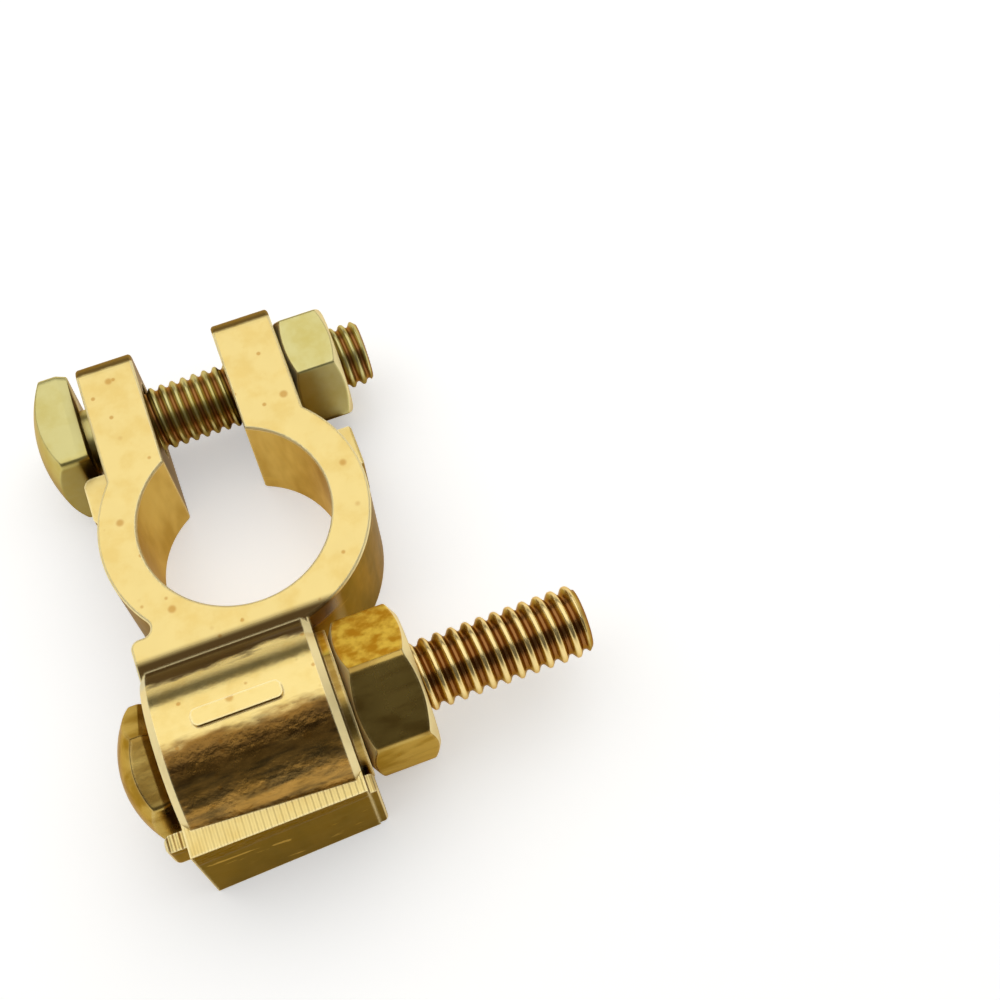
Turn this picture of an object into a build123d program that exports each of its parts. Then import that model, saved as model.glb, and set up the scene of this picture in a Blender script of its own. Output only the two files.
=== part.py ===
from build123d import *
import os
from math import cos, radians, sin, sqrt, tan

# Battery terminal clamp for the negative post, in millimetres.
# The post bore's axis is Z, and Z = 0 is the underside of the casting.
# Both bolts run along X. The pinch ears point to +Y, and the cable block to -Y.

# Ring that grips the battery post
ring_height = 11.3
post_bore_radius = 8.15
ring_wall = 3.33
slot_width = 7.35
slot_centre_x = -0.53

# Pinch ears on either side of the slot
left_ear_thickness = 5.05
right_ear_thickness = 5.3
ear_past_ring = 7.82
ear_tip_round = 2.0
ear_hole_clearance = 0.6

# Lug on the ring that keeps the pinch bolt's head from turning
pinch_lug_thickness = 2.25
pinch_lug_height = 8.5
pinch_lug_length = 4.6
pinch_lug_round = 0.8
pinch_lug_clearance = 0.2

# Pinch bolt and its nut
pinch_thread_radius = 2.9
pinch_thread_pitch = 1.0
pinch_axis_to_tip = 4.8
pinch_head_flats = 9.6
pinch_head_height = 4.5
pinch_head_dome_radius = 11.5
pinch_head_turn = 3.5
pinch_head_slack = 0.9
pinch_tail = 2.65
pinch_nut_flats = 9.8
pinch_nut_height = 4.6
pinch_nut_turn = 31.5

# Cable block: a flat plate behind an arch that is concentric with the cable bolt
block_inside_ring = 0.28
block_width = 14.2
plate_overlap = 3.58
plate_to_bolt = 9.9
arch_radius = 7.8
bolt_axis_height = 7.5
arch_end_chamfer = 0.6
neck_round = 0.8
neck_round_share = 0.28
ledge_height_left = 11.5
ledge_height_right = 10.36
front_past_bolt_left = 8.8
front_past_bolt_right = 8.3

# Raised minus sign on the arch
sign_length = 7.2
sign_width = 1.45
sign_height = 0.45
sign_corner_round = 0.5
sign_from_left = 3.45
sign_behind_axis = 0.2

# Rib on the block that keeps the cable bolt's head from turning
cable_rib_thickness = 1.9
cable_rib_length = 1.4
cable_rib_height = 3.4
cable_rib_above_axis = 2.2
cable_rib_clearance = 0.15
cable_rib_round = 0.6

# Shallow rib on the block's right face, in front of the washer
washer_rib_thickness = 0.8
washer_rib_length = 1.5
washer_rib_height = 9.0
washer_rib_clearance = 0.35

# Small lug on the ring's right side, below the pinch nut
nut_lug_past_ring = 0.6
nut_lug_length = 4.0
nut_lug_height = 5.5
nut_lug_clearance = 1.2

# Cable bolt, washer and nut
cable_thread_radius = 3.0
cable_thread_pitch = 1.25
cable_bore_clearance = 0.25
cable_head_flats = 10.0
cable_head_height = 3.9
cable_head_dome_radius = 8.5
cable_head_turn = 12.3
cable_tail = 14.4
washer_thickness = 0.9
washer_radius = 6.3
washer_bore_clearance = 0.2
cable_nut_flats = 11.8
cable_nut_height = 5.9
cable_nut_turn = 59.5

# Fits and small edges that the pieces share. The end chamfer is a share of the thread's
# pitch, and the nut's face is a share of its flats' size.
end_chamfer_share = 0.61
nut_face_share = 0.465
nut_bevel_angle = 30.0
nut_running_clearance = 0.05
head_corner_round = 0.6
rim_round = 0.3
edge_tolerance = 0.01
nut_bore_chamfer = 0.15

# Places that follow from the sizes above
ring_radius = post_bore_radius + ring_wall
slot_left_x = slot_centre_x - slot_width / 2
slot_right_x = slot_centre_x + slot_width / 2
ears_left_x = slot_left_x - left_ear_thickness
ears_right_x = slot_right_x + right_ear_thickness
ear_tip_y = ring_radius + ear_past_ring
pinch_axis_y = ear_tip_y - pinch_axis_to_tip
pinch_axis_z = ring_height / 2
plate_back_y = plate_overlap - ring_radius
cable_axis_y = plate_back_y - plate_to_bolt
block_left_x = block_inside_ring - ring_radius
block_right_x = block_left_x + block_width
block_middle_x = block_left_x + block_width / 2


def box_between(low, high):
    """A box given by its two opposite corners."""
    size = Vector(*high) - Vector(*low)
    return Pos(*low) * Box(size.X, size.Y, size.Z, align=(Align.MIN, Align.MIN, Align.MIN))


def along_x(x, y, z, turn=0.0):
    """A place whose own Z points along +X and whose own X points up, turned about +X."""
    plane = Plane(origin=(x, y, z), x_dir=(0, 0, 1), z_dir=(1, 0, 0))
    return Location(plane) * Rot(0, 0, turn)


def against_x(x, y, z, turn=0.0):
    """A place whose own Z points along -X and whose own X points up, turned about -X."""
    plane = Plane(origin=(x, y, z), x_dir=(0, 0, 1), z_dir=(-1, 0, 0))
    return Location(plane) * Rot(0, 0, turn)


def edges_at(edges, axis, value):
    """Those of the edges that lie wholly on the plane where the axis has this value."""
    return edges.filter_by_position(axis, value - edge_tolerance, value + edge_tolerance)


def square_reach(across_flats, turn):
    """How far a square turned by a small angle reaches from its centre."""
    return across_flats / 2 * (cos(radians(turn)) + sin(radians(turn)))


def hexagon_reach(across_flats):
    """How far a hexagon's corners lie from its centre."""
    return across_flats / sqrt(3)


def domed(outline, height, dome_radius):
    """A bolt head of this outline, from its bearing face at 0 to the top of its dome."""
    dome = Pos(0, 0, height - dome_radius) * Sphere(dome_radius)
    return extrude(outline, height) & dome


def bolt_shank(radius, length, pitch):
    """A smooth shank at the size of its thread's crests, with a chamfer at the free end."""
    shank = Cylinder(radius, length, align=(Align.CENTER, Align.CENTER, Align.MIN))
    return chamfer(shank.edges().sort_by(Axis.Z)[-1], end_chamfer_share * pitch)


def hex_nut(across_flats, height, thread_radius):
    """A hexagon nut with chamfered corners on both faces, standing on 0."""
    bore_radius = thread_radius + nut_running_clearance
    face_radius = nut_face_share * across_flats
    corner_radius = hexagon_reach(across_flats)
    bevel = (corner_radius - face_radius) * tan(radians(nut_bevel_angle))
    profile = Polyline(
        (0, 0), (face_radius, 0), (corner_radius, bevel),
        (corner_radius, height - bevel), (face_radius, height), (0, height), close=True)
    turned = revolve(Plane.XZ * make_face(profile), Axis.Z)
    blank = extrude(RegularPolygon(corner_radius, 6), height)
    bore = Cylinder(bore_radius, height, align=(Align.CENTER, Align.CENTER, Align.MIN))
    nut = (blank & turned) - bore
    rims = nut.edges().filter_by(GeomType.CIRCLE).sort_by(SortBy.RADIUS)[:2]
    return chamfer(rims, nut_bore_chamfer)


def neck_fillet_radius():
    """The neck's rounding, limited by the width of the plate's back edge beside the ring."""
    back_edge = -block_left_x - sqrt(ring_radius ** 2 - plate_back_y ** 2)
    return min(neck_round, neck_round_share * back_edge)


def ring_and_plate():
    """Ring, ears and flat plate as one plan outline, with the slot and the post bore cut."""
    plan = Circle(ring_radius)
    plan += Pos(block_middle_x, (plate_back_y + cable_axis_y) / 2) * Rectangle(
        block_width, plate_back_y - cable_axis_y)
    plan += Pos((ears_left_x + ears_right_x) / 2, ear_tip_y / 2) * Rectangle(
        ears_right_x - ears_left_x, ear_tip_y)
    slot = Rectangle(slot_width, ear_tip_y + rim_round, align=(Align.CENTER, Align.MIN))
    plan -= Pos(slot_centre_x, 0) * slot
    plan -= Circle(post_bore_radius)
    body = extrude(plan, ring_height)
    neck = edges_at(body.edges().filter_by(Axis.Z), Axis.Y, plate_back_y)
    on_left = neck.filter_by_position(Axis.X, block_left_x - edge_tolerance, 0)
    body = fillet(on_left, neck_fillet_radius())
    tips = edges_at(body.edges().filter_by(Axis.X), Axis.Y, ear_tip_y)
    body = fillet(tips, ear_tip_round)
    top_rims = edges_at(body.edges(), Axis.Z, ring_height)
    behind_arch = top_rims.filter_by_position(Axis.Y, cable_axis_y + edge_tolerance, ear_tip_y)
    return fillet(behind_arch, rim_round)


def pinch_lug():
    """The low lug beside the left ear, flush against one flat of the pinch bolt's head."""
    head_reach = square_reach(pinch_head_flats, pinch_head_turn)
    end_y = pinch_axis_y - head_reach - pinch_lug_clearance
    left = ears_left_x - pinch_lug_thickness
    lug = box_between(
        (left, end_y - pinch_lug_length, 0),
        (ears_left_x + pinch_lug_thickness, end_y, pinch_lug_height))
    outer = edges_at(lug.edges(), Axis.X, left)
    return fillet(outer.filter_by(Axis.Z), pinch_lug_round)


def cable_block():
    """The arch round the cable bolt, and the lower shoulder in front of it."""
    arch = Cylinder(arch_radius, block_width)
    arch = chamfer(arch.edges().filter_by(GeomType.CIRCLE), arch_end_chamfer)
    arch = along_x(block_middle_x, cable_axis_y, bolt_axis_height) * arch
    front_left_y = cable_axis_y - front_past_bolt_left
    front_right_y = cable_axis_y - front_past_bolt_right
    plan = make_face(Polyline(
        (block_left_x, cable_axis_y), (block_left_x, front_left_y),
        (block_right_x, front_right_y), (block_right_x, cable_axis_y), close=True))
    elevation = make_face(Polyline(
        (block_left_x, 0), (block_right_x, 0),
        (block_right_x, ledge_height_right), (block_left_x, ledge_height_left), close=True))
    depth = front_past_bolt_left + plate_to_bolt
    upright = Pos(0, cable_axis_y, 0) * (Plane.XZ * elevation)
    across = extrude(upright, amount=depth, dir=(0, -1, 0))
    shoulder = extrude(plan, amount=2 * arch_radius, dir=(0, 0, 1)) & across
    block = arch + shoulder
    below = box_between(
        (block_left_x, cable_axis_y - arch_radius, -arch_radius),
        (block_right_x, cable_axis_y + arch_radius, 0))
    return block - below


def minus_sign():
    """The raised bar on top of the arch, which follows the arch's curve."""
    top_radius = arch_radius + sign_height
    left = block_left_x + sign_from_left
    bar = RectangleRounded(sign_length, sign_width, sign_corner_round)
    bar = Pos(left + sign_length / 2, cable_axis_y + sign_behind_axis, bolt_axis_height) * extrude(
        bar, top_radius)
    skin = along_x(block_left_x, cable_axis_y, bolt_axis_height) * Cylinder(
        top_radius, block_width, align=(Align.CENTER, Align.CENTER, Align.MIN))
    return bar & skin


def cable_rib():
    """The short rib in front of the cable bolt's head, which keeps the head from turning."""
    end_y = cable_axis_y - hexagon_reach(cable_head_flats) - cable_rib_clearance
    top_z = bolt_axis_height + cable_rib_above_axis
    left = block_left_x - cable_rib_thickness
    rib = box_between(
        (left, end_y - cable_rib_length, top_z - cable_rib_height),
        (block_left_x, end_y, top_z))
    return fillet(edges_at(rib.edges(), Axis.X, left), cable_rib_round)


def washer_rib():
    """The shallow rib in front of the washer, on the block's right face."""
    end_y = cable_axis_y - washer_radius - washer_rib_clearance
    right = block_right_x + washer_rib_thickness
    rib = box_between(
        (block_right_x, end_y - washer_rib_length, 0), (right, end_y, washer_rib_height))
    return fillet(edges_at(rib.edges(), Axis.X, right), 0.5 * washer_rib_thickness)


def nut_lug():
    """The low lug on the ring's right side."""
    end_y = pinch_axis_y - hexagon_reach(pinch_nut_flats) - nut_lug_clearance
    right = ring_radius + nut_lug_past_ring
    lug = box_between(
        (post_bore_radius, end_y - nut_lug_length, 0),
        (right, end_y, nut_lug_height))
    return fillet(edges_at(lug.edges(), Axis.X, right), 0.5 * nut_lug_past_ring)


def clamp_body():
    """The clamp's single casting."""
    body = ring_and_plate() + pinch_lug() + nut_lug()
    body += cable_block() + minus_sign() + cable_rib() + washer_rib()
    pinch_hole = Cylinder(pinch_thread_radius + ear_hole_clearance, 4 * ring_radius)
    cable_hole = Cylinder(cable_thread_radius + cable_bore_clearance, 2 * block_width)
    body -= along_x(slot_centre_x, pinch_axis_y, pinch_axis_z) * pinch_hole
    body -= along_x(block_middle_x, cable_axis_y, bolt_axis_height) * cable_hole
    return body


def pinch_bolt():
    """Square-headed bolt through both ears. Its head stands off the left ear by its slack."""
    seat_x = ears_left_x - pinch_head_slack
    end_x = ears_right_x + pinch_nut_height + pinch_tail
    outline = RectangleRounded(pinch_head_flats, pinch_head_flats, head_corner_round)
    head = domed(outline, pinch_head_height, pinch_head_dome_radius)
    shank = bolt_shank(pinch_thread_radius, end_x - seat_x, pinch_thread_pitch)
    placed_head = against_x(seat_x, pinch_axis_y, pinch_axis_z, pinch_head_turn) * head
    return placed_head + along_x(seat_x, pinch_axis_y, pinch_axis_z) * shank


def pinch_nut():
    """Nut on the right ear's outer face."""
    nut = hex_nut(pinch_nut_flats, pinch_nut_height, pinch_thread_radius)
    return along_x(ears_right_x, pinch_axis_y, pinch_axis_z, pinch_nut_turn) * nut


def cable_bolt():
    """Hexagon-headed bolt through the cable block, with a long free tail for the cable's lug."""
    end_x = block_right_x + washer_thickness + cable_nut_height + cable_tail
    outline = RegularPolygon(hexagon_reach(cable_head_flats), 6)
    head = domed(outline, cable_head_height, cable_head_dome_radius)
    shank = bolt_shank(cable_thread_radius, end_x - block_left_x, cable_thread_pitch)
    placed_head = against_x(
        block_left_x, cable_axis_y, bolt_axis_height, cable_head_turn) * head
    return placed_head + along_x(block_left_x, cable_axis_y, bolt_axis_height) * shank


def cable_washer():
    """Flat washer between the block and the cable nut."""
    washer = Cylinder(washer_radius, washer_thickness, align=(Align.CENTER, Align.CENTER, Align.MIN))
    washer -= Cylinder(cable_thread_radius + washer_bore_clearance, 2 * washer_thickness)
    return along_x(block_right_x, cable_axis_y, bolt_axis_height) * washer


def cable_nut():
    """Nut on the cable bolt, against the washer."""
    nut = hex_nut(cable_nut_flats, cable_nut_height, cable_thread_radius)
    seat_x = block_right_x + washer_thickness
    return along_x(seat_x, cable_axis_y, bolt_axis_height, cable_nut_turn) * nut


nodes = {
    "clamp_body": clamp_body,
    "pinch_bolt": pinch_bolt,
    "pinch_nut": pinch_nut,
    "cable_bolt": cable_bolt,
    "cable_washer": cable_washer,
    "cable_nut": cable_nut,
}

os.makedirs("parts", exist_ok=True)
for name, make in nodes.items():
    export_step(make(), f"parts/{name}.step")
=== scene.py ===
import bpy
import bmesh
import numpy as np
from bpy.props import FloatProperty, FloatVectorProperty, PointerProperty
from mathutils import Matrix, Vector


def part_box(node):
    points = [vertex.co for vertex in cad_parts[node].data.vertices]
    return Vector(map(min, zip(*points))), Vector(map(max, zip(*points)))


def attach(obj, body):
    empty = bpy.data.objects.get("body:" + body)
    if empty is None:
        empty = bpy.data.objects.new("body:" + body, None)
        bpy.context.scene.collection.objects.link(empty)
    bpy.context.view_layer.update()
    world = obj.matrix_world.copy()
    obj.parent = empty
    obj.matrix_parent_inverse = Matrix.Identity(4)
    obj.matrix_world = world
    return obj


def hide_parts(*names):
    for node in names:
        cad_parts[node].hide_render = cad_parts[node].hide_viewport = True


bl_info = {
    "name": "Battery Terminal Clamp",
    "version": (1, 0, 0),
    "blender": (4, 5, 0),
    "location": "View3D > Sidebar > Clamp",
    "description": "Dresses a cast brass battery terminal clamp and its two bolts",
    "category": "Object",
}

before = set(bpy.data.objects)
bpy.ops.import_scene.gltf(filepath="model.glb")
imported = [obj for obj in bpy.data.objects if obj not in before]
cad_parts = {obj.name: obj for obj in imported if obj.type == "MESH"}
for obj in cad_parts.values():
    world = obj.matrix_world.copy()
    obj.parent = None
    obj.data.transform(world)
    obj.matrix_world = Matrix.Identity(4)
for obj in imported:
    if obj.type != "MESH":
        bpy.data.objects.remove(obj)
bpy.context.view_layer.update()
MM = 0.001

# Bolt axes in metres, read from the pinch nut and the washer, which lie evenly round them
pinch_nut_low, pinch_nut_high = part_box("pinch_nut")
cable_washer_low, cable_washer_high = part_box("cable_washer")
PINCH_AXIS = (pinch_nut_low + pinch_nut_high) / 2
CABLE_AXIS = (cable_washer_low + cable_washer_high) / 2

# How finely the turned pieces are divided
BOLT_ANGLES = 192
NUT_ANGLES = 240
WASHER_ANGLES = 128
CAP_ROWS = 14
ROWS_PER_PITCH = 14

# Thread depth as a share of the pitch, and the nuts' faces as a share of their flats' size
THREAD_DEPTH_SHARE = 0.40
NUT_FACE_SHARE = 0.465


class ClampBolts(bpy.types.PropertyGroup):
    """Sizes of the two bolts and their nuts that show."""
    pinch_pitch: FloatProperty(
        name="Pinch pitch", description="Length of one turn of the pinch bolt's thread",
        default=1.0 * MM, min=0.3 * MM, unit="LENGTH")
    pinch_crest: FloatProperty(
        name="Pinch crest", description="Radius of the pinch bolt's thread at its crests",
        default=2.9 * MM, min=1 * MM, unit="LENGTH")
    pinch_head_flats: FloatProperty(
        name="Pinch head", description="Square head's size across its flats",
        default=9.6 * MM, min=2 * MM, unit="LENGTH")
    pinch_head_corner: FloatProperty(
        name="Pinch head corner", description="Rounding of the square head's corners",
        default=0.6 * MM, min=0, unit="LENGTH")
    pinch_head_dome: FloatProperty(
        name="Pinch head dome", description="Radius of the head's domed outer face",
        default=11.5 * MM, min=2 * MM, unit="LENGTH")
    pinch_head_height: FloatProperty(
        name="Pinch head height", description="From the bearing face to the dome's top",
        default=4.5 * MM, min=1 * MM, unit="LENGTH")
    pinch_head_turn: FloatProperty(
        name="Pinch head turn", description="How far the square head is turned from level",
        default=np.radians(3.5), subtype="ANGLE")
    pinch_thread_start: FloatProperty(
        name="Pinch thread start", description="X of the thread's first root at its top",
        default=-8.055 * MM, unit="LENGTH")
    cable_thread_start: FloatProperty(
        name="Cable thread start", description="X of the thread's first root at its top",
        default=-8.1 * MM, unit="LENGTH")
    cable_pitch: FloatProperty(
        name="Cable pitch", description="Length of one turn of the cable bolt's thread",
        default=1.25 * MM, min=0.3 * MM, unit="LENGTH")
    cable_crest: FloatProperty(
        name="Cable crest", description="Radius of the cable bolt's thread at its crests",
        default=3.0 * MM, min=1 * MM, unit="LENGTH")
    cable_head_flats: FloatProperty(
        name="Cable head", description="Hexagon head's size across its flats",
        default=10.0 * MM, min=2 * MM, unit="LENGTH")
    cable_head_corner: FloatProperty(
        name="Cable head corner", description="Rounding of the hexagon head's corners",
        default=0.3 * MM, min=0, unit="LENGTH")
    cable_head_dome: FloatProperty(
        name="Cable head dome", description="Radius of the head's domed outer face",
        default=8.5 * MM, min=2 * MM, unit="LENGTH")
    cable_head_height: FloatProperty(
        name="Cable head height", description="From the bearing face to the dome's top",
        default=3.9 * MM, min=1 * MM, unit="LENGTH")
    cable_head_turn: FloatProperty(
        name="Cable head turn", description="How far the hexagon head's corner is from the top",
        default=np.radians(-12.3), subtype="ANGLE")
    pinch_nut_flats: FloatProperty(
        name="Pinch nut", description="Pinch nut's size across its flats",
        default=9.8 * MM, min=2 * MM, unit="LENGTH")
    pinch_nut_corner: FloatProperty(
        name="Pinch nut corner", description="Rounding of the pinch nut's corners",
        default=0.25 * MM, min=0, unit="LENGTH")
    pinch_nut_turn: FloatProperty(
        name="Pinch nut turn", description="Angle of one corner from the top, towards the front",
        default=np.radians(31.5), subtype="ANGLE")
    cable_nut_flats: FloatProperty(
        name="Cable nut", description="Cable nut's size across its flats",
        default=11.8 * MM, min=2 * MM, unit="LENGTH")
    cable_nut_corner: FloatProperty(
        name="Cable nut corner", description="Rounding of the cable nut's corners",
        default=0.6 * MM, min=0, unit="LENGTH")
    cable_nut_turn: FloatProperty(
        name="Cable nut turn", description="Angle of one corner from the top, towards the front",
        default=np.radians(59.5), subtype="ANGLE")
    nut_clearance: FloatProperty(
        name="Nut clearance", description="Room between a thread's crests and its nut's bore",
        default=0.05 * MM, min=0, unit="LENGTH")
    washer_clearance: FloatProperty(
        name="Washer clearance", description="Room between the cable bolt and the washer",
        default=0.2 * MM, min=0, unit="LENGTH")


class ClampCasting(bpy.types.PropertyGroup):
    """Sizes of the casting that its shading and its material follow."""
    bore_radius: FloatProperty(
        name="Post bore", description="Radius of the bore that grips the battery post",
        default=8.15 * MM, min=1 * MM, unit="LENGTH")
    ring_radius: FloatProperty(
        name="Ring", description="Radius of the ring's outside",
        default=11.48 * MM, min=1 * MM, unit="LENGTH")
    arch_radius: FloatProperty(
        name="Arch", description="Radius of the arch round the cable bolt",
        default=7.8 * MM, min=1 * MM, unit="LENGTH")
    sign_height: FloatProperty(
        name="Sign height", description="How far the minus sign stands out of the arch",
        default=0.45 * MM, min=0, unit="LENGTH")
    cable_hole_radius: FloatProperty(
        name="Cable hole", description="Radius of the hole for the cable bolt",
        default=3.25 * MM, min=1 * MM, unit="LENGTH")
    ear_hole_radius: FloatProperty(
        name="Ear holes", description="Radius of the holes through the ears",
        default=3.5 * MM, min=1 * MM, unit="LENGTH")
    rim_height: FloatProperty(
        name="Rim height", description="Height above the underside where the top rims begin",
        default=11.0 * MM, min=1 * MM, unit="LENGTH")
    ridge_pitch: FloatProperty(
        name="Ridge pitch", description="Distance between the fine ridges on the shoulder",
        default=0.5 * MM, min=0.1 * MM, unit="LENGTH")


class ClampFinish(bpy.types.PropertyGroup):
    """Colours of the metals."""
    cast: FloatVectorProperty(
        name="Cast brass", description="Ground top faces of the casting",
        default=(0.80, 0.63, 0.25), size=3, min=0, max=1, subtype="COLOR")
    # Colour of the casting's skin, which also serves as painted shade on the sides, the front,
    # the ears' ends and the arch's bands.
    skin: FloatVectorProperty(
        name="Casting skin", description="Darker skin on the casting's sides",
        default=(0.14, 0.082, 0.015), size=3, min=0, max=1, subtype="COLOR")
    # Pale metal of rubbed edges, which also serves as a painted highlight on edges, rims and
    # chamfers.
    wear_and_highlight: FloatVectorProperty(
        name="Worn edges", description="Pale metal where edges are rubbed",
        default=(1.0, 0.86, 0.46), size=3, min=0, max=1, subtype="COLOR")
    turned: FloatVectorProperty(
        name="Turned brass", description="Cable bolt, washer and nut",
        default=(0.52, 0.36, 0.095), size=3, min=0, max=1, subtype="COLOR")
    plated: FloatVectorProperty(
        name="Yellow plating", description="Pinch bolt and its nut",
        default=(0.62, 0.56, 0.24), size=3, min=0, max=1, subtype="COLOR")
    torn: FloatVectorProperty(
        name="Torn brass", description="Bright torn metal on the nut's faces towards the ring",
        default=(1.0, 0.70, 0.10), size=3, min=0, max=1, subtype="COLOR")
    torn_deep: FloatVectorProperty(
        name="Torn brass, deep", description="Deeper places in the torn metal",
        default=(0.68, 0.33, 0.02), size=3, min=0, max=1, subtype="COLOR")
    # Colour of the thread roots, standing for grime and painted shade.
    grime_and_shade: FloatVectorProperty(
        name="Grime", description="Dark brown in the thread roots and recesses",
        default=(0.30, 0.135, 0.04), size=3, min=0, max=1, subtype="COLOR")


class ClampStage(bpy.types.PropertyGroup):
    """Camera, lamp, room and floor."""
    lens: FloatProperty(
        name="Lens", description="Camera focal length in millimetres on a 36 mm sensor",
        default=56.696, min=10)
    camera_place: FloatVectorProperty(
        name="Camera place", description="Where the camera stands",
        default=(4.266 * MM, -61.498 * MM, 129.447 * MM), size=3, subtype="XYZ", unit="LENGTH")
    camera_axis: FloatVectorProperty(
        name="Camera axis", description="The way the camera looks",
        default=(0.12858, 0.41595, -0.90025), size=3, subtype="XYZ")
    camera_up: FloatVectorProperty(
        name="Camera up", description="The way that is up in the picture",
        default=(0.32857, 0.83865, 0.43441), size=3, subtype="XYZ")
    softbox_place: FloatVectorProperty(
        name="Softbox place", description="Centre of the overhead softbox",
        default=(0, 0.146, 0.425), size=3, subtype="XYZ", unit="LENGTH")
    softbox_width: FloatProperty(
        name="Softbox width", description="Size of the softbox along the bolts",
        default=1.0, min=0.01, unit="LENGTH")
    softbox_depth: FloatProperty(
        name="Softbox depth", description="Size of the softbox across the bolts",
        default=0.68, min=0.01, unit="LENGTH")
    softbox_radiance: FloatProperty(
        name="Softbox", description="How bright the overhead softbox looks, where 1 is white",
        default=1.12, min=0)
    world_strength: FloatProperty(
        name="Room light", description="Brightness of the dim room above its pale walls",
        default=0.12, min=0)
    wall_strength: FloatProperty(
        name="Room walls", description="Brightness of the room's pale walls near the horizon",
        default=0.85, min=0)
    floor_lift: FloatProperty(
        name="Floor lift", description="Brightness added to the floor where it is seen",
        default=0.42, min=0)
    floor_half: FloatProperty(
        name="Floor reach", description="How far the floor reaches to each side",
        default=1.5, min=0.1, unit="LENGTH")
    floor: FloatVectorProperty(
        name="Floor", description="Floor colour",
        default=(0.92, 0.92, 0.91), size=3, min=0, max=1, subtype="COLOR")


def outline_radius(angle, sides, apothem, corner):
    """Distance from the centre of a regular polygon to its outline along each angle.

    One corner lies at angle 0. On a flat the distance is apothem / cos(angle from the flat's
    middle). Near a corner it is where the ray meets a circle of the corner's radius that
    touches both flats.
    """
    half = np.pi / sides
    from_corner = (angle + half) % (2 * half) - half
    flat = apothem / np.cos(half - np.abs(from_corner))
    if corner <= 0:
        return flat
    centre = (apothem - corner) / np.cos(half)
    inside = np.maximum(corner ** 2 - (centre * np.sin(from_corner)) ** 2, 0)
    rounded = centre * np.cos(from_corner) + np.sqrt(inside)
    tangent = np.arctan2(corner * np.sin(half), centre + corner * np.cos(half))
    return np.where(np.abs(from_corner) < tangent, rounded, flat)


def softened(corners, rounding, steps=5):
    """Rows of a profile whose inner corners are rounded.

    corners has the shape (points, angles, 2), each an axial place and a radius. Each inner
    corner becomes a quadratic curve from a point short of it to a point past it, where the
    corner itself is the curve's control point. rounding says how far before and past.
    """
    rows = [corners[:1]]
    t = np.linspace(0, 1, steps)[:, None, None]
    for index in range(1, len(corners) - 1):
        here = corners[index]
        before = corners[index - 1] - here
        after = corners[index + 1] - here
        length_before = np.linalg.norm(before, axis=-1, keepdims=True) + 1e-9
        length_after = np.linalg.norm(after, axis=-1, keepdims=True) + 1e-9
        reach_before = np.minimum(rounding[index], 0.45 * length_before)
        reach_after = np.minimum(rounding[index], 0.45 * length_after)
        start = here + before / length_before * reach_before
        end = here + after / length_after * reach_after
        rows.append((1 - t) ** 2 * start + 2 * t * (1 - t) * here + t ** 2 * end)
    rows.append(corners[-1:])
    return np.concatenate(rows)


def thread_height(phase):
    """Height of a rounded thread from 0 in its root to 1 on its crest, for a phase in turns.

    The crest is flat over about a sixth of a turn and the root over about an eighth. The
    flanks between them blend a straight line with a smooth step, which rounds their ends.
    """
    crest_end, root_start, smooth_share = 0.16, 0.88, 0.75
    distance = np.abs((phase % 1.0) - 0.5) * 2
    ramp = np.clip((distance - crest_end) / (root_start - crest_end), 0, 1)
    smooth = ramp * ramp * (3 - 2 * ramp)
    return 1 - ((1 - smooth_share) * ramp + smooth_share * smooth)


def grid_faces(rows, columns, closed_rows=False):
    """Quads of a grid whose columns wrap round, and whose rows wrap round too if asked."""
    last = rows if closed_rows else rows - 1
    r, c = np.meshgrid(np.arange(last), np.arange(columns), indexing="ij")
    below, right = (r + 1) % rows, (c + 1) % columns
    return np.stack(
        [r * columns + c, below * columns + c, below * columns + right, r * columns + right],
        axis=-1).reshape(-1, 4)


def turned_piece(name, rows, angle, axis, closed=False, shade=None):
    """A mesh from profile rows of (X, radius) at each angle about a bolt's axis.

    A point at angle a lies at Y = axis Y - radius sin a, Z = axis Z + radius cos a. An open
    profile starts and ends on the axis, where its points merge into one pole.
    """
    place = np.empty(rows.shape[:2] + (3,))
    place[..., 0] = rows[..., 0]
    place[..., 1] = axis[1] - rows[..., 1] * np.sin(angle)
    place[..., 2] = axis[2] + rows[..., 1] * np.cos(angle)
    faces = grid_faces(rows.shape[0], rows.shape[1], closed)
    mesh = bpy.data.meshes.new(name)
    mesh.from_pydata(place.reshape(-1, 3), [], faces)
    if shade is not None:
        layer = mesh.attributes.new("depth", "FLOAT", "POINT")
        layer.data.foreach_set("value", shade.reshape(-1).astype(np.float32))
    cleaned(mesh)
    piece = bpy.data.objects.new(name, mesh)
    bpy.context.scene.collection.objects.link(piece)
    return piece


def cleaned(mesh):
    """Merges doubled points, drops faces with no area and turns the rest outwards."""
    work = bmesh.new()
    work.from_mesh(mesh)
    bmesh.ops.remove_doubles(work, verts=work.verts, dist=1e-7)
    bmesh.ops.dissolve_degenerate(work, edges=work.edges, dist=1e-8)
    bmesh.ops.recalc_face_normals(work, faces=work.faces)
    work.to_mesh(mesh)
    work.free()
    mesh.polygons.foreach_set("use_smooth", np.ones(len(mesh.polygons), bool))
    mesh.update()


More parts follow.
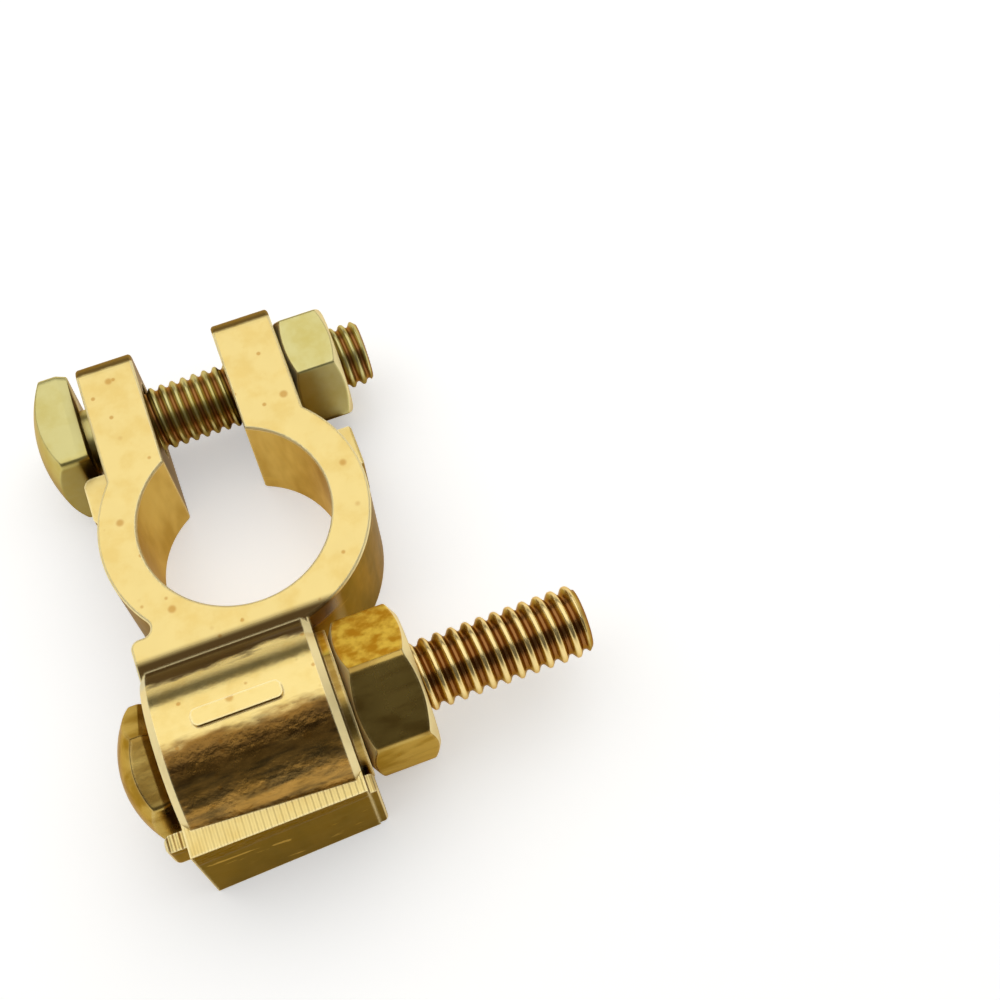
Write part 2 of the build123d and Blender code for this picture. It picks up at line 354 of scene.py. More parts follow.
def even_shading(mesh, rounds, soft_angle=38.0, flat_area=0.8 * MM * MM):
    """Gives each corner of a triangle mesh the normal of the true surface there.

    rounds lists cylinders as (axis letter, first centre, second centre, radius). A triangle
    whose corners all lie on one of them, and whose normal is square to its axis, takes the
    radial direction at each corner. A triangle in a large flat face keeps the face's normal.
    Any other corner takes the angle-weighted mean of the neighbours within the soft angle,
    and where one of those lies in a large flat face, that face's normal, so that a fillet
    runs into the face without a kink.
    """
    on_round, square_to_axis = 0.003 * MM, 0.02
    normal_steps, plane_step = 500, 0.005 * MM
    flat_pull = 1e4
    points = np.empty(len(mesh.vertices) * 3)
    mesh.vertices.foreach_get("co", points)
    points = points.reshape(-1, 3)
    corner_vertex = np.empty(len(mesh.loops), int)
    mesh.loops.foreach_get("vertex_index", corner_vertex)
    faces = corner_vertex.reshape(-1, 3)
    corners = points[faces]
    cross = np.cross(corners[:, 1] - corners[:, 0], corners[:, 2] - corners[:, 0])
    double_area = np.linalg.norm(cross, axis=1, keepdims=True)
    normal = cross / np.maximum(double_area, 1e-18)
    after = np.roll(corners, -1, axis=1) - corners
    before = np.roll(corners, 1, axis=1) - corners
    along = np.einsum("fck,fck->fc", after, before)
    reach = np.linalg.norm(after, axis=2) * np.linalg.norm(before, axis=2) + 1e-18
    width = np.arccos(np.clip(along / reach, -1, 1)).reshape(-1)

    round_face = np.zeros(len(faces), bool)
    exact = np.zeros(corners.shape)
    for letter, first, second, radius in rounds:
        axis = "XYZ".index(letter)
        across = [k for k in range(3) if k != axis]
        offset = corners[:, :, across] - np.array([first, second])
        distance = np.linalg.norm(offset, axis=2)
        close = np.all(np.abs(distance - radius) < on_round, axis=1)
        close &= np.abs(normal[:, axis]) < square_to_axis
        out = np.zeros(corners.shape)
        out[:, :, across] = offset / np.maximum(distance, 1e-9)[..., None]
        inward = np.einsum("fk,fk->f", out.mean(axis=1), normal) < 0
        out[inward] *= -1
        exact[close] = out[close]
        round_face |= close

    level_of = np.einsum("fk,fk->f", normal, corners[:, 0])[:, None]
    plane = np.concatenate(
        [np.round(normal * normal_steps), np.round(level_of / plane_step)], axis=1)
    _, group = np.unique(plane.astype(int), axis=0, return_inverse=True)
    group = group.reshape(-1)
    total = np.bincount(group, double_area[:, 0] / 2)
    flat_face = (total[group] > flat_area) & ~round_face

    order = np.argsort(corner_vertex, kind="stable")
    count = np.bincount(corner_vertex, minlength=len(points))
    start = np.concatenate([[0], np.cumsum(count)[:-1]])
    repeat = count[corner_vertex]
    own = np.repeat(np.arange(len(corner_vertex)), repeat)
    step = np.arange(len(own)) - np.repeat(np.cumsum(repeat) - repeat, repeat)
    other = order[start[corner_vertex[own]] + step]
    own_face, other_face = own // 3, other // 3
    alike = np.einsum("pk,pk->p", normal[own_face], normal[other_face])
    weight = np.where(alike > np.cos(np.radians(soft_angle)), width[other], 0)
    weight = np.where(flat_face[other_face], weight * flat_pull, weight)
    mean = np.stack([np.bincount(own, weight * normal[other_face][:, k], len(corner_vertex))
                     for k in range(3)], axis=1)
    mean /= np.maximum(np.linalg.norm(mean, axis=1, keepdims=True), 1e-12)
    mean = mean.reshape(-1, 3, 3)
    mean[flat_face] = normal[flat_face][:, None]
    mean[round_face] = exact[round_face]
    mesh.polygons.foreach_set("use_smooth", np.ones(len(mesh.polygons), bool))
    mesh.normals_split_custom_set(mean.reshape(-1, 3))


def even_angles(count):
    """Angles of a full turn, without the last one, which is the first again."""
    return np.linspace(0, 2 * np.pi, count, endpoint=False)


def ring(x, radius, angle):
    """One profile row at all angles, where X and the radius may each be one number."""
    flat = np.zeros(angle.shape)
    return np.stack([x + flat, radius + flat], axis=-1)


def bolt(name, axis, low, high, sides, flats, corner, turn, height, dome, crest, pitch, start):
    """A bolt with a domed polygon head at its low X end and a helical thread.

    The head's outer face is a sphere's cap, cut by the polygon. The thread's radius at X and
    angle a is the root radius plus the depth times thread_height of the phase
    (X - start) / pitch - a / full turn. Half a pitch before the start, the root is as high as
    the crest, and from there it sinks to its full depth. A 45 degree cone cuts the far end
    down to the root radius.
    """
    cap_share = 0.97
    skirt, undercut = 0.9 * MM, 0.35 * MM
    dome_rounding, edge_rounding = 0.22 * MM, 0.12 * MM
    tiny = 1e-6

    angle = even_angles(BOLT_ANGLES)
    outline = outline_radius(angle - turn, sides, flats / 2, corner)
    bearing = low + height

    def dome_row(radius):
        return ring(low + dome - np.sqrt(dome ** 2 - radius ** 2), radius, angle)

    cap = np.stack([dome_row(share * outline) for share in np.linspace(0, cap_share, CAP_ROWS)])
    edge = np.stack([
        dome_row(cap_share * outline),
        dome_row(outline),
        ring(bearing - skirt, outline, angle),
        ring(bearing, outline - undercut, angle),
        ring(bearing, crest, angle),
    ])
    head = softened(edge, [0, dome_rounding, edge_rounding, edge_rounding, 0])

    depth = THREAD_DEPTH_SHARE * pitch
    root = crest - depth
    count = int((high - bearing) / pitch * ROWS_PER_PITCH)
    along = np.linspace(bearing + tiny, high - tiny, count)[:, None]
    thread = thread_height((along - start) / pitch - angle / (2 * np.pi))
    fade_in = np.clip((along - start + 0.5 * pitch) / (0.5 * pitch), 0, 1)
    end_cone = root + (high - along)
    radius = np.minimum(crest - depth * (1 - thread) * fade_in, end_cone)
    shank = np.stack([np.broadcast_to(along, radius.shape), radius], axis=-1)
    tip = np.stack([ring(high, share * radius[-1], angle) for share in (0.9, 0.5, 0.0)])

    rows = np.concatenate([cap, head, shank, tip])
    shade = np.ones(rows.shape[:2])
    first = len(cap) + len(head)
    shade[first:first + count] = (radius - root) / depth
    return turned_piece(name, rows, angle, axis, shade=np.clip(shade, 0, 1))


def nut(name, axis, low, high, flats, corner, turn, bore):
    """A hexagon nut with both faces chamfered at 30 degrees and a countersunk bore.

    The profile starts in the bore's middle, runs out over the low face, along the hexagon's
    outline and back over the high face. Where the outline lies outside the face's circle, the
    face falls away by the distance times the tangent of 30 degrees, so the chamfer bites
    deepest at the corners.
    """
    chamfer, sink, rounding = np.radians(30), 0.45 * MM, 0.18 * MM
    angle = even_angles(NUT_ANGLES)
    outline = outline_radius(angle - turn, 6, flats / 2, corner)
    face = NUT_FACE_SHARE * flats
    bite = np.maximum(outline - face, 0) * np.tan(chamfer)
    middle = (low + high) / 2
    corners = np.stack([ring(x, radius, angle) for x, radius in (
        (middle, bore), (low + sink, bore), (low, bore + sink), (low, face),
        (low + bite, outline), (high - bite, outline),
        (high, face), (high, bore + sink), (high - sink, bore), (middle, bore))])
    rows = softened(corners, [0] + [rounding] * 8 + [0])
    return turned_piece(name, rows[:-1], angle, axis, closed=True)


def washer(name, axis, low, high, outer, bore):
    """A flat ring: a rectangle of X and radius with rounded corners, carried round the axis."""
    rounding = 0.15 * MM
    angle = even_angles(WASHER_ANGLES)
    middle = (low + high) / 2
    corners = np.stack([ring(x, radius, angle) for x, radius in (
        (middle, bore), (low, bore), (low, outer),
        (high, outer), (high, bore), (middle, bore))])
    rows = softened(corners, [0] + [rounding] * 4 + [0])
    return turned_piece(name, rows[:-1], angle, axis, closed=True)


def new_material(name):
    """An empty node material with a Principled shader, and helpers to add to it."""
    material = bpy.data.materials.new(name)
    material.use_nodes = True
    return Nodes(material)


class Nodes:
    """Short calls for adding nodes to a material."""

    def __init__(self, material):
        self.material = material
        self.tree = material.node_tree
        self.shader = self.tree.nodes["Principled BSDF"]
        coordinates = self.add("ShaderNodeTexCoord").outputs
        self.place, self.facing = coordinates["Object"], coordinates["Normal"]

    def add(self, kind, **settings):
        node = self.tree.nodes.new(kind)
        for key, value in settings.items():
            setattr(node, key, value)
        return node

    def link(self, source, target):
        if isinstance(source, (int, float, tuple)):
            target.default_value = source
        else:
            self.tree.links.new(source, target)

    def maths(self, operation, *values, clamp=False):
        node = self.add("ShaderNodeMath", operation=operation, use_clamp=clamp)
        for slot, value in zip(node.inputs, values):
            self.link(value, slot)
        return node.outputs[0]

    def plus(self, first, second):
        return self.maths("ADD", first, second)

    def times(self, first, second):
        return self.maths("MULTIPLY", first, second)

    def most(self, first, second):
        return self.maths("MAXIMUM", first, second)

    def minus(self, first, second):
        """The first less the second, kept from 0 to 1."""
        return self.maths("SUBTRACT", first, second, clamp=True)

    def noise(self, scale, detail=3.0, stretch=None, distortion=0.0):
        place = self.place
        if stretch is not None:
            mapping = self.add("ShaderNodeMapping")
            mapping.inputs["Scale"].default_value = stretch
            self.link(place, mapping.inputs["Vector"])
            place = mapping.outputs["Vector"]
        node = self.add("ShaderNodeTexNoise")
        self.link(place, node.inputs["Vector"])
        node.inputs["Scale"].default_value = scale
        node.inputs["Detail"].default_value = detail
        node.inputs["Roughness"].default_value = 0.55
        node.inputs["Distortion"].default_value = distortion
        return node.outputs["Fac"]

    def ramp(self, value, low, high):
        """0 below low, 1 above high, with a smooth step between."""
        node = self.add("ShaderNodeMapRange", interpolation_type="SMOOTHSTEP")
        self.link(value, node.inputs["Value"])
        node.inputs["From Min"].default_value = low
        node.inputs["From Max"].default_value = high
        return node.outputs["Result"]

    def mix(self, factor, first, second):
        node = self.add("ShaderNodeMix", data_type="RGBA")
        self.link(factor, node.inputs["Factor"])
        for value, slot in ((first, node.inputs["A"]), (second, node.inputs["B"])):
            self.link((*value, 1.0) if isinstance(value, tuple) else value, slot)
        return node.outputs["Result"]

    def edges(self, radius, low, high):
        """1 on edges, where the normal turns within the radius, and 0 elsewhere."""
        bevel = self.add("ShaderNodeBevel", samples=6)
        bevel.inputs["Radius"].default_value = radius
        geometry = self.add("ShaderNodeNewGeometry")
        dot = self.add("ShaderNodeVectorMath", operation="DOT_PRODUCT")
        self.link(bevel.outputs[0], dot.inputs[0])
        self.link(geometry.outputs["Normal"], dot.inputs[1])
        return self.ramp(dot.outputs["Value"], 1 - low, 1 - high)

    def hollows(self, distance, low, high):
        """1 in corners and gaps that the surroundings shade, and 0 in the open."""
        node = self.add("ShaderNodeAmbientOcclusion", samples=8)
        node.inputs["Distance"].default_value = distance
        return self.ramp(node.outputs["AO"], high, low)

    def dots(self, scale, size, share):
        """Scattered round spots: 1 inside a spot, 0 outside."""
        node = self.add("ShaderNodeTexVoronoi")
        self.link(self.place, node.inputs["Vector"])
        node.inputs["Scale"].default_value = scale
        spot = self.ramp(node.outputs["Distance"], size, size * 0.45)
        chosen = self.maths("LESS_THAN", self.axis(node.outputs["Color"], "X"), share)
        return self.times(spot, chosen)

    def axis(self, vector, name):
        node = self.add("ShaderNodeSeparateXYZ")
        self.link(vector, node.inputs[0])
        return node.outputs[name]

    def slanted(self):
        """1 on chamfers round the bolts' axes, whose normals lean halfway along X."""
        lean = self.maths("ABSOLUTE", self.axis(self.facing, "X"))
        return self.times(self.ramp(lean, 0.42, 0.60), self.ramp(lean, 0.985, 0.94))

    def bump(self, height, strength, distance, normal=None):
        node = self.add("ShaderNodeBump")
        self.link(height, node.inputs["Height"])
        node.inputs["Strength"].default_value = strength
        node.inputs["Distance"].default_value = distance
        if normal is not None:
            self.link(normal, node.inputs["Normal"])
        return node.outputs["Normal"]


def metal(name):
    """A metal whose reflections at a glancing angle are tinted brown."""
    n = new_material(name)
    n.shader.inputs["Metallic"].default_value = 1.0
    n.shader.inputs["Specular Tint"].default_value = (0.78, 0.60, 0.38, 1)
    return n


def wandering(n, low, high):
    """A roughness that wanders between two values."""
    return n.plus(n.times(n.noise(260, detail=4), high - low), low)


def rubbed(n, rough, mask, crust=None):
    """Sets the roughness and the metal: duller under the mask, and nearly matt under a crust."""
    worn_roughness, worn_loss = 0.42, 0.25
    crust_loss, crust_shine_loss = 0.8, 0.4
    n.link(n.most(rough, n.times(mask, worn_roughness)), n.shader.inputs["Roughness"])
    metallic = n.maths("SUBTRACT", 1.0, n.times(mask, worn_loss))
    if crust is not None:
        metallic = n.minus(metallic, n.times(crust, crust_loss))
        shine = n.maths("SUBTRACT", 0.5, n.times(crust, crust_shine_loss))
        n.link(shine, n.shader.inputs["Specular IOR Level"])
    n.link(metallic, n.shader.inputs["Metallic"])


def tinted(colour, *factors):
    """A colour with each channel times its factor."""
    return tuple(c * f for c, f in zip(colour, factors))


class BlockBands:
    """Masks over the cable block: all of it, its ledge and front, its arch and the arch's bands.
    The arch's bands carry tarnish and painted dark reflections, and the front carries painted
    shade.

    The limits along Y are distances from the cable bolt's axis, positive towards the ring. A
    noise stretched along the bolt makes the borders of the arch's bands ragged.
    """

    def __init__(self, n, up, along, height):
        offset = n.maths("SUBTRACT", along, float(CABLE_AXIS[1]))
        uneven = n.maths("SUBTRACT", n.noise(900, 5, stretch=(0.35, 1, 1)), 0.5)
        ragged = n.plus(offset, n.times(uneven, 2.6 * MM))
        self.block = n.ramp(offset, 8.2 * MM, 7.4 * MM)
        self.ledge = n.times(n.ramp(up, 0.93, 0.97), n.ramp(offset, -4.6 * MM, -5.2 * MM))
        self.front = n.ramp(offset, -7.2 * MM, -8.2 * MM)
        above = n.ramp(height, 8.6 * MM, 9.2 * MM)
        self.arch = n.minus(n.times(self.block, above), self.ledge)
        # The low and high bands hold the tarnish and painted dark reflections along the arch.
        self.low = n.times(self.arch, n.ramp(ragged, -0.9 * MM, -2.0 * MM))
        self.high = n.times(self.arch, n.ramp(ragged, 4.2 * MM, 4.9 * MM))
        self.rough = n.times(self.low, n.ramp(ragged, -4.6 * MM, -3.2 * MM))


def ground_colour(n, pale, skin, bands):
    """The pale top faces with their specks, and the brown bands along the arch, which are tarnish
    and painted dark reflections.
    """
    colour = n.mix(n.ramp(n.noise(420, 4), 0.42, 0.70), pale, tinted(pale, 0.95, 0.90, 0.78))
    speck = n.most(n.dots(420, 0.20, 0.22), n.dots(950, 0.24, 0.16))
    colour = n.mix(n.times(speck, 0.65), colour, tinted(pale, 0.62, 0.38, 0.16))
    brown = n.mix(n.ramp(n.noise(1300, 4, stretch=(0.25, 1, 1)), 0.38, 0.66),
                  tinted(pale, 0.60, 0.38, 0.16), tinted(skin, 0.7, 0.5, 0.4))
    # Tarnish and painted dark reflections: the brown bands along the arch.
    colour = n.mix(n.times(bands.low, 0.85), colour, brown)
    colour = n.mix(n.times(bands.rough, 0.6), colour, tinted(skin, 0.7, 0.45, 0.3))
    return n.mix(n.times(bands.high, 0.95), colour, tinted(skin, 0.42, 0.30, 0.2))


def side_colour(n, pale, skin, bands, from_axis, bore_radius):
    """Streaky, scratched skin on the upright sides, darkened partly as painted shade, paler in
    the bore and darker in front as painted shade.
    """
    streak = n.mix(n.ramp(n.noise(520, 4, stretch=(1, 1, 0.25)), 0.30, 0.72),
                   skin, tinted(pale, 0.36, 0.25, 0.10))
    bore = n.mix(n.ramp(n.noise(300, 3, stretch=(1, 1, 0.3)), 0.35, 0.65),
                 tinted(pale, 0.95, 0.84, 0.58), tinted(pale, 0.68, 0.53, 0.28))
    inside = n.ramp(from_axis, bore_radius + 0.6 * MM, bore_radius + 0.1 * MM)
    streak = n.mix(inside, streak, bore)
    # Painted shade: the block's front is darker.
    streak = n.mix(n.times(bands.front, 0.7), streak, tinted(skin, 0.50, 0.50, 0.36))
    scratch = n.ramp(n.noise(160, 5, stretch=(0.6, 1, 3.2), distortion=1.5), 0.655, 0.675)
    return n.mix(n.times(scratch, 0.6), streak, tinted(pale, 0.85, 0.7, 0.4))


def cast_brass(finish, size):
    """Cast brass: pale ground top faces, dark skin and painted shade on the sides, specks, and
    worn edges that also carry a painted highlight.

    The arch is glossier than the rest, with a matt brown crust and a painted dark reflection
    along its side by the ring, and brown bands of tarnish and painted dark reflection on its
    front side. The shoulder in front of it has fine ridges across the bolt.
    """
    n = metal("cast_brass")
    pale, skin = tuple(finish.cast), tuple(finish.skin)
    up = n.axis(n.facing, "Z")
    across, along, height = (n.axis(n.place, letter) for letter in "XYZ")
    bands = BlockBands(n, up, along, height)
    colour = ground_colour(n, pale, skin, bands)

    from_axis = n.maths("SQRT", n.plus(n.times(across, across), n.times(along, along)))
    # The upright sides take the dark skin, which is partly painted shade.
    side = n.ramp(n.plus(up, n.times(n.noise(700, 3), 0.25)), 0.55, 0.12)
    streak = side_colour(n, pale, skin, bands, from_axis, size.bore_radius)
    colour = n.mix(n.times(side, 0.93), colour, streak)

    # Painted shade: the ends of the ears are darker.
    tip_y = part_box("clamp_body")[1].y
    tip = n.ramp(n.plus(along, n.times(n.noise(900, 3), 0.3 * MM)),
                 tip_y - 1.55 * MM, tip_y - 1.3 * MM)
    colour = n.mix(n.times(tip, 0.85), colour, tinted(skin, 1.1, 0.9, 0.8))

    # Wear and a painted highlight: the top rims, edges and the block's chamfers are paled.
    rim = n.times(n.ramp(height, size.rim_height - 0.04 * MM, size.rim_height + 0.02 * MM),
                  n.ramp(up, 0.97, 0.90))
    rim = n.minus(rim, n.most(bands.block, tip))
    wear_and_highlight = n.most(n.edges(0.36 * MM, 0.02, 0.12), rim)
    wear_and_highlight = n.most(wear_and_highlight, n.times(n.slanted(), bands.block))
    # Painted shade and grime: corners and gaps that the surroundings shade turn dark brown.
    grime_and_shade = n.hollows(0.9 * MM, 0.25, 0.60)
    colour = n.mix(n.times(wear_and_highlight, 0.95), colour, tuple(finish.wear_and_highlight))
    colour = n.mix(n.times(grime_and_shade, 0.9), colour, tinted(skin, 0.3, 0.22, 0.15))
    n.link(colour, n.shader.inputs["Base Color"])

    rough = n.maths("SUBTRACT", 0.30, n.times(bands.arch, 0.18))
    rough = n.plus(rough, n.times(n.noise(600, 4), 0.12))
    rubbed(n, n.plus(rough, n.times(bands.low, 0.10)), wear_and_highlight, bands.high)

    wave = n.bump(n.noise(2600, 3), 0.30, 0.02 * MM)
    wave = n.bump(n.noise(320, 2), 0.30, 0.05 * MM, wave)
    wave = n.bump(n.times(n.noise(1500, 5), bands.low), 0.8, 0.10 * MM, wave)
    ridges = n.maths("SINE", n.times(across, 2 * np.pi / size.ridge_pitch))
    wave = n.bump(n.times(ridges, bands.ledge), 0.9, 0.036 * MM, wave)
    n.link(wave, n.shader.inputs["Normal"])
    return n.material


def turned_brass(finish):
    """Turned brass of the nut and the washer, with streaks along the bolt and pale edges that are
    wear and a painted highlight.

    The faces towards the ring are torn and bright.
    """
    n = metal("turned_brass")
    colour = streaked(n, tuple(finish.turned))
    torn = n.mix(n.ramp(n.noise(900, 5), 0.35, 0.65), tuple(finish.torn), tuple(finish.torn_deep))
    back = n.ramp(n.axis(n.facing, "Y"), 0.25, 0.45)
    colour = n.mix(back, colour, torn)
    # Edges and chamfers are paled as wear and a painted highlight.
    wear_and_highlight = n.most(n.edges(0.45 * MM, 0.01, 0.10), n.slanted())
    rubbed(n, n.most(wandering(n, 0.18, 0.34), n.times(back, 0.5)), wear_and_highlight)
    return finished(n, n.mix(n.times(wear_and_highlight, 0.9), colour, tuple(finish.wear_and_highlight)), 1800, 0.35, 0.025)


def threaded_brass(finish, head_end):
    """Turned brass of the cable bolt: past its head, brown roots of grime and painted shade, and
    pale crests of wear and a painted highlight.
    """
    n = metal("turned_brass_thread")
    colour = streaked(n, tuple(finish.turned))
    depth = n.add("ShaderNodeAttribute", attribute_name="depth").outputs["Fac"]
    head = n.ramp(n.axis(n.place, "X"), head_end + 0.2 * MM, head_end)
    # Wear and a painted highlight on the crests, grime and painted shade in the roots.
    crest = n.minus(n.ramp(depth, 0.62, 0.95), head)
    pale = tinted(finish.wear_and_highlight, 0.95, 0.86, 0.72)
    colour = n.mix(n.ramp(depth, 0.60, 0.10), colour, tuple(finish.grime_and_shade))
    colour = n.mix(n.times(crest, 0.9), colour, pale)
    # The head's edges are paled as wear and a painted highlight.
    wear_and_highlight = n.times(n.edges(0.45 * MM, 0.01, 0.10), head)
    rubbed(n, wandering(n, 0.18, 0.34), wear_and_highlight)
    return finished(n, n.mix(n.times(wear_and_highlight, 0.9), colour, tuple(finish.wear_and_highlight)), 1800, 0.35, 0.025)


def streaked(n, base):
    """A base colour with darker streaks along the bolt."""
    streak = n.noise(500, 4, stretch=(0.35, 1.0, 1.0), distortion=0.4)
    return n.mix(n.ramp(streak, 0.36, 0.66), base, tinted(base, 0.60, 0.52, 0.40))


def finished(n, colour, grain_scale, strength, grain_mm):
    """Links the colour and a fine grain, and hands back the material."""
    n.link(colour, n.shader.inputs["Base Color"])
    grain = n.bump(n.noise(grain_scale, 3), strength, grain_mm * MM)
    n.link(grain, n.shader.inputs["Normal"])
    return n.material


def plated_steel(finish, threaded=False):
    """Yellow plated steel: pale yellow-green above and brown on the sides and underside as
    painted shade, with faint clouds.
    """
    n = metal("plated_steel_thread" if threaded else "plated_steel")
    base = tuple(finish.plated)
    colour = n.mix(n.ramp(n.noise(330, 4), 0.38, 0.70), base, tinted(base, 0.90, 0.84, 0.62))
    # Painted shade: faces turned sideways and down are browner.
    below = n.ramp(n.axis(n.facing, "Z"), 0.35, -0.05)
    colour = n.mix(n.times(below, 0.8), colour, tinted(base, 0.42, 0.30, 0.14))
    rough = wandering(n, 0.26, 0.40)
    if threaded:
        depth = n.add("ShaderNodeAttribute", attribute_name="depth").outputs["Fac"]
        # Grime and painted shade in the thread roots.
        colour = n.mix(n.ramp(depth, 0.55, 0.05), colour, tuple(finish.grime_and_shade))
        n.link(rough, n.shader.inputs["Roughness"])
    else:
        # Edges and chamfers are paled as wear and a painted highlight.
        wear_and_highlight = n.most(n.edges(0.45 * MM, 0.01, 0.10), n.slanted())
        rubbed(n, rough, wear_and_highlight)
        colour = n.mix(n.times(wear_and_highlight, 0.8), colour, tuple(finish.wear_and_highlight))
    return finished(n, colour, 1500, 0.3, 0.02)


def dress(piece, body, node, material):
    """Puts a finished piece on its body in place of the node of the same name."""
    piece.data.materials.clear()
    piece.data.materials.append(material)
    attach(piece, body)
    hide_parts(node)


class CLAMP_OT_casting(bpy.types.Operator):
    """Make the casting with even shading and cast brass"""
    bl_idname = "clamp.casting"
    bl_label = "Casting"

    def execute(self, context):
        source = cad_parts["clamp_body"]
        mesh = source.data.copy()
        piece = bpy.data.objects.new("casting", mesh)
        context.scene.collection.objects.link(piece)
        work = bmesh.new()
        work.from_mesh(mesh)
        bmesh.ops.remove_doubles(work, verts=work.verts, dist=1e-6)
        work.to_mesh(mesh)
        work.free()
        size = context.scene.clamp_casting
        bolt_y, bolt_z = CABLE_AXIS[1], CABLE_AXIS[2]
        pinch_y, pinch_z = PINCH_AXIS[1], PINCH_AXIS[2]
        even_shading(mesh, (
            ("Z", 0, 0, size.bore_radius), ("Z", 0, 0, size.ring_radius),
            ("X", bolt_y, bolt_z, size.arch_radius),
            ("X", bolt_y, bolt_z, size.arch_radius + size.sign_height),
            ("X", bolt_y, bolt_z, size.cable_hole_radius),
            ("X", pinch_y, pinch_z, size.ear_hole_radius)))
        material = cast_brass(context.scene.clamp_finish, size)
        dress(piece, "casting", "clamp_body", material)
        return {"FINISHED"}


class CLAMP_OT_bolts(bpy.types.Operator):
    """Make the pinch bolt and the cable bolt with helical threads"""
    bl_idname = "clamp.bolts"
    bl_label = "Bolts"

    def execute(self, context):
        size = context.scene.clamp_bolts
        finish = context.scene.clamp_finish
        low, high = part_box("pinch_bolt")
        piece = bolt(
            "pinch_bolt_threaded", PINCH_AXIS, low.x, high.x,
            sides=4, flats=size.pinch_head_flats, corner=size.pinch_head_corner,
            turn=np.pi / 4 - size.pinch_head_turn, height=size.pinch_head_height,
            dome=size.pinch_head_dome, crest=size.pinch_crest, pitch=size.pinch_pitch,
            start=size.pinch_thread_start)
        dress(piece, "pinch_bolt", "pinch_bolt", plated_steel(finish, True))
        low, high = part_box("cable_bolt")
        piece = bolt(
            "cable_bolt_threaded", CABLE_AXIS, low.x, high.x,
            sides=6, flats=size.cable_head_flats, corner=size.cable_head_corner,
            turn=size.cable_head_turn, height=size.cable_head_height,
            dome=size.cable_head_dome, crest=size.cable_crest, pitch=size.cable_pitch,
            start=size.cable_thread_start)
        material = threaded_brass(finish, low.x + size.cable_head_height)
        dress(piece, "casting", "cable_bolt", material)
        return {"FINISHED"}


class CLAMP_OT_nuts(bpy.types.Operator):
    """Make the pinch nut and the cable nut"""
    bl_idname = "clamp.nuts"
    bl_label = "Nuts"

    def execute(self, context):
        size = context.scene.clamp_bolts
        finish = context.scene.clamp_finish
        low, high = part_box("pinch_nut")
        piece = nut(
            "pinch_nut_dressed", PINCH_AXIS, low.x, high.x,
            size.pinch_nut_flats, size.pinch_nut_corner, size.pinch_nut_turn,
            size.pinch_crest + size.nut_clearance)
        dress(piece, "pinch_nut", "pinch_nut", plated_steel(finish))
        low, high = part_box("cable_nut")
        piece = nut(
            "cable_nut_dressed", CABLE_AXIS, low.x, high.x,
            size.cable_nut_flats, size.cable_nut_corner, size.cable_nut_turn,
            size.cable_crest + size.nut_clearance)
        dress(piece, "cable_nut", "cable_nut", turned_brass(finish))
        return {"FINISHED"}


class CLAMP_OT_washer(bpy.types.Operator):
    """Make the flat washer with softened rims"""
    bl_idname = "clamp.washer"
    bl_label = "Washer"

    def execute(self, context):
        size = context.scene.clamp_bolts
        low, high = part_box("cable_washer")
        piece = washer("washer", CABLE_AXIS, low.x, high.x, (high.z - low.z) / 2,
                       size.cable_crest + size.washer_clearance)
        material = turned_brass(context.scene.clamp_finish)
        dress(piece, "cable_washer", "cable_washer", material)
        return {"FINISHED"}


def softbox(name, centre, target, width, depth, radiance):
    """A soft rectangular lamp that looks equally bright all over, where 1 is white."""
    data = bpy.data.lights.new(name, "AREA")
    data.shape = "RECTANGLE"
    data.size = width
    data.size_y = depth
    data.energy = radiance * np.pi * width * depth
    lamp = bpy.data.objects.new(name, data)
    lamp.location = centre
    aim = Vector(target) - Vector(centre)
    lamp.rotation_euler = aim.to_track_quat("-Z", "Y").to_euler()
    bpy.context.scene.collection.objects.link(lamp)


def pale_floor(stage):
    """A flat pale floor that looks a little brighter than it is lit, and keeps its shadows."""
    half = stage.floor_half
    mesh = bpy.data.meshes.new("floor")
    corners = [(-half, -half, 0), (half, -half, 0), (half, half, 0), (-half, half, 0)]
    mesh.from_pydata(corners, [], [(0, 1, 2, 3)])
    n = new_material("pale_floor")
    n.shader.inputs["Base Color"].default_value = (*stage.floor, 1)
    n.shader.inputs["Roughness"].default_value = 0.9
    n.shader.inputs["Emission Color"].default_value = (1, 1, 1, 1)
    path = n.add("ShaderNodeLightPath").outputs
    seen = n.plus(path["Is Camera Ray"], path["Is Glossy Ray"])
    seen = n.maths("ADD", seen, path["Is Transmission Ray"], clamp=True)
    n.link(n.times(seen, stage.floor_lift), n.shader.inputs["Emission Strength"])
    mesh.materials.append(n.material)
    floor = bpy.data.objects.new("floor", mesh)
    bpy.context.scene.collection.objects.link(floor)
    return floor


def dim_room(stage):
    """A world with pale walls near the horizon and a dim room above them.

    The brightness follows the sine of the view's height above the horizon. It is the walls'
    up to where they end and the room's from where that starts, with a line between them.
    """
    walls_end, room_start = 0.14, 0.32
    world = bpy.data.worlds.new("room")
    world.use_nodes = True
    tree = world.node_tree
    sky = tree.nodes["Background"]
    sky.inputs["Color"].default_value = (1.0, 0.96, 0.88, 1)
    direction = tree.nodes.new("ShaderNodeTexCoord").outputs["Generated"]
    parts = tree.nodes.new("ShaderNodeSeparateXYZ")
    walls = tree.nodes.new("ShaderNodeMapRange")
    tree.links.new(direction, parts.inputs[0])
    tree.links.new(parts.outputs["Z"], walls.inputs["Value"])
    walls.inputs["From Min"].default_value = walls_end
    walls.inputs["From Max"].default_value = room_start
    walls.inputs["To Min"].default_value = stage.wall_strength
    walls.inputs["To Max"].default_value = stage.world_strength
    tree.links.new(walls.outputs["Result"], sky.inputs["Strength"])
    return world


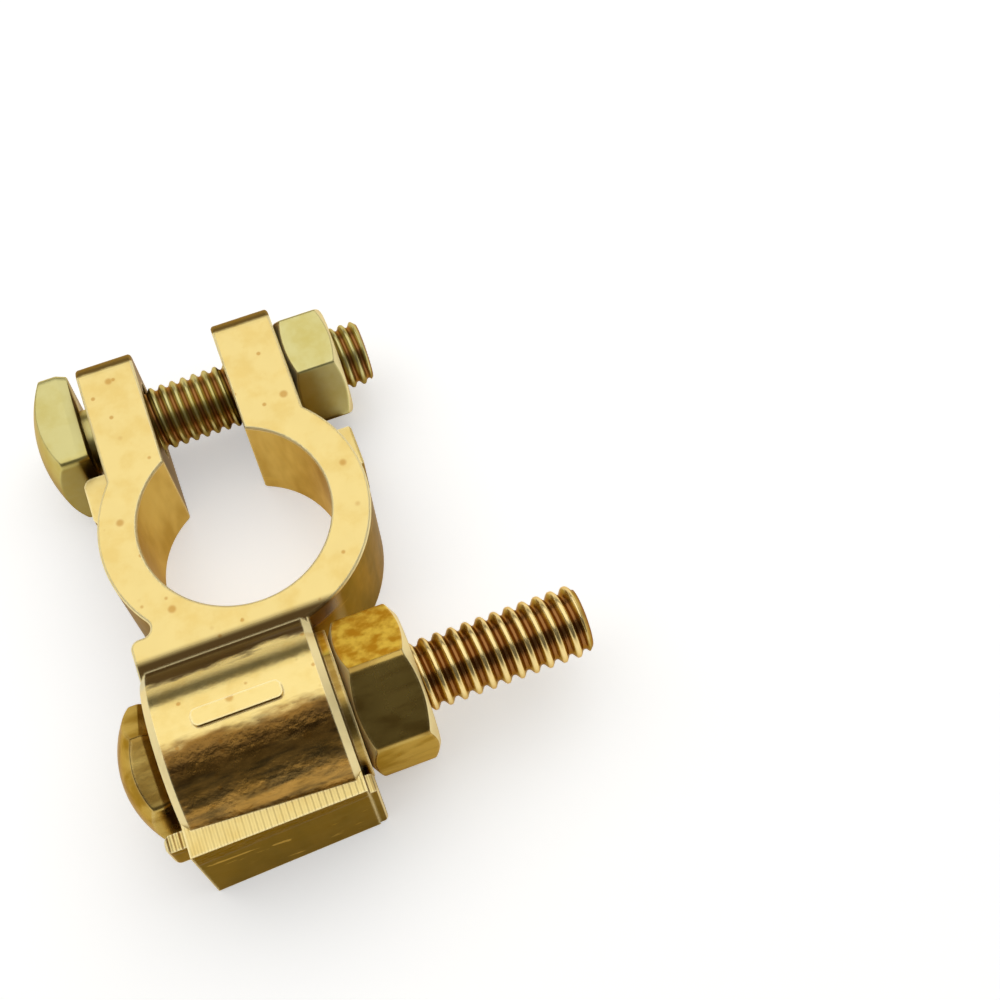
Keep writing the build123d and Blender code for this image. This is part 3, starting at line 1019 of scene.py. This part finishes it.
def main_camera(stage):
    """The camera that was solved from the photo's parallel edges."""
    data = bpy.data.cameras.new("camera")
    data.lens = stage.lens
    data.sensor_width = 36
    data.clip_start = 5 * MM
    camera = bpy.data.objects.new("camera", data)
    back = -Vector(stage.camera_axis).normalized()
    right = Vector(stage.camera_up).cross(back).normalized()
    up = back.cross(right)
    turn = Matrix((right, up, back)).transposed().to_4x4()
    camera.matrix_world = Matrix.Translation(Vector(stage.camera_place)) @ turn
    bpy.context.scene.collection.objects.link(camera)
    return camera


class CLAMP_OT_stage(bpy.types.Operator):
    """Make the pale floor, the soft lamp, the room and the camera"""
    bl_idname = "clamp.stage"
    bl_label = "Stage"

    def execute(self, context):
        stage = context.scene.clamp_stage
        floor = pale_floor(stage)
        context.scene.world = dim_room(stage)
        softbox("overhead", stage.softbox_place, (0, 0, 0), stage.softbox_width,
                stage.softbox_depth, stage.softbox_radiance)
        context.scene.camera = main_camera(stage)
        context.scene.view_settings.view_transform = "Standard"
        return {"FINISHED"}


class CLAMP_PT_panel(bpy.types.Panel):
    """Steps that dress the clamp"""
    bl_label = "Terminal Clamp"
    bl_idname = "CLAMP_PT_panel"
    bl_space_type = "VIEW_3D"
    bl_region_type = "UI"
    bl_category = "Clamp"

    def draw(self, context):
        for step in STEPS:
            self.layout.operator(step.bl_idname)
        for group, kind in GROUPS:
            box = self.layout.box()
            for name in kind.__annotations__:
                box.prop(getattr(context.scene, group), name)


STEPS = (CLAMP_OT_casting, CLAMP_OT_bolts, CLAMP_OT_nuts, CLAMP_OT_washer, CLAMP_OT_stage)
GROUPS = (
    ("clamp_casting", ClampCasting), ("clamp_bolts", ClampBolts),
    ("clamp_finish", ClampFinish), ("clamp_stage", ClampStage))


def register():
    for name, group in GROUPS:
        bpy.utils.register_class(group)
        setattr(bpy.types.Scene, name, PointerProperty(type=group))
    for step in STEPS:
        bpy.utils.register_class(step)
    bpy.utils.register_class(CLAMP_PT_panel)


def unregister():
    bpy.utils.unregister_class(CLAMP_PT_panel)
    for step in reversed(STEPS):
        bpy.utils.unregister_class(step)
    for name, group in reversed(GROUPS):
        delattr(bpy.types.Scene, name)
        bpy.utils.unregister_class(group)


def main():
    """Registers the add-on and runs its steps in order."""
    register()
    bpy.ops.clamp.casting()
    bpy.ops.clamp.bolts()
    bpy.ops.clamp.nuts()
    bpy.ops.clamp.washer()
    bpy.ops.clamp.stage()
    bpy.context.view_layer.update()


if __name__ == "__main__":
    main()
